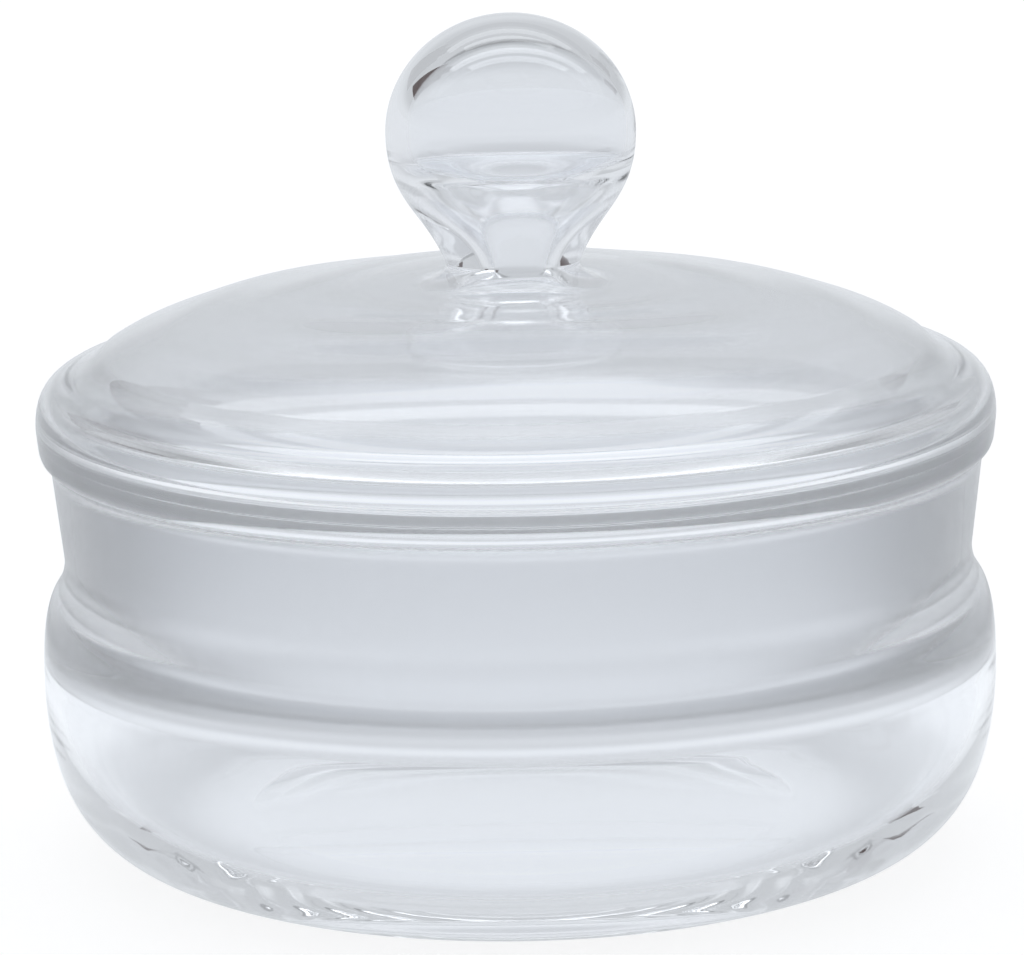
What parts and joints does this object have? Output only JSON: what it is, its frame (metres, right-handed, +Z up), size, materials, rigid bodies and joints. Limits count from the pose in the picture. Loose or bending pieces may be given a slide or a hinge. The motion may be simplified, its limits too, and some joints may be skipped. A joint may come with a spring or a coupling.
{
  "type": "crystallizing dish",
  "caption": "Low round clear-glass laboratory dish with a domed lid that seats in a ground collar and lifts off by a hollow ball knob.",
  "frame": {"origin": "centre of the dish's foot, on the surface it stands on", "axes": "+Z up along the axis of the dish, lid and knob; X and Y are interchangeable"},
  "size_m": [0.07, 0.07, 0.0611],
  "materials": {
    "dish_glass": "clear polished borosilicate glass, finely ground inside the collar",
    "lid_glass": "clear polished borosilicate glass, finely ground outside the skirt"
  },
  "bodies": {
    "dish": {"dish": "dish_glass"},
    "lid": {"lid": "lid_glass", "lid_knob": "lid_glass"}
  },
  "joints": [
    {"name": "lid_lift", "type": "slide", "parent": "dish", "child": "lid", "axis": [0, 0, 1], "range_m": [0, 0.04]}
  ]
}
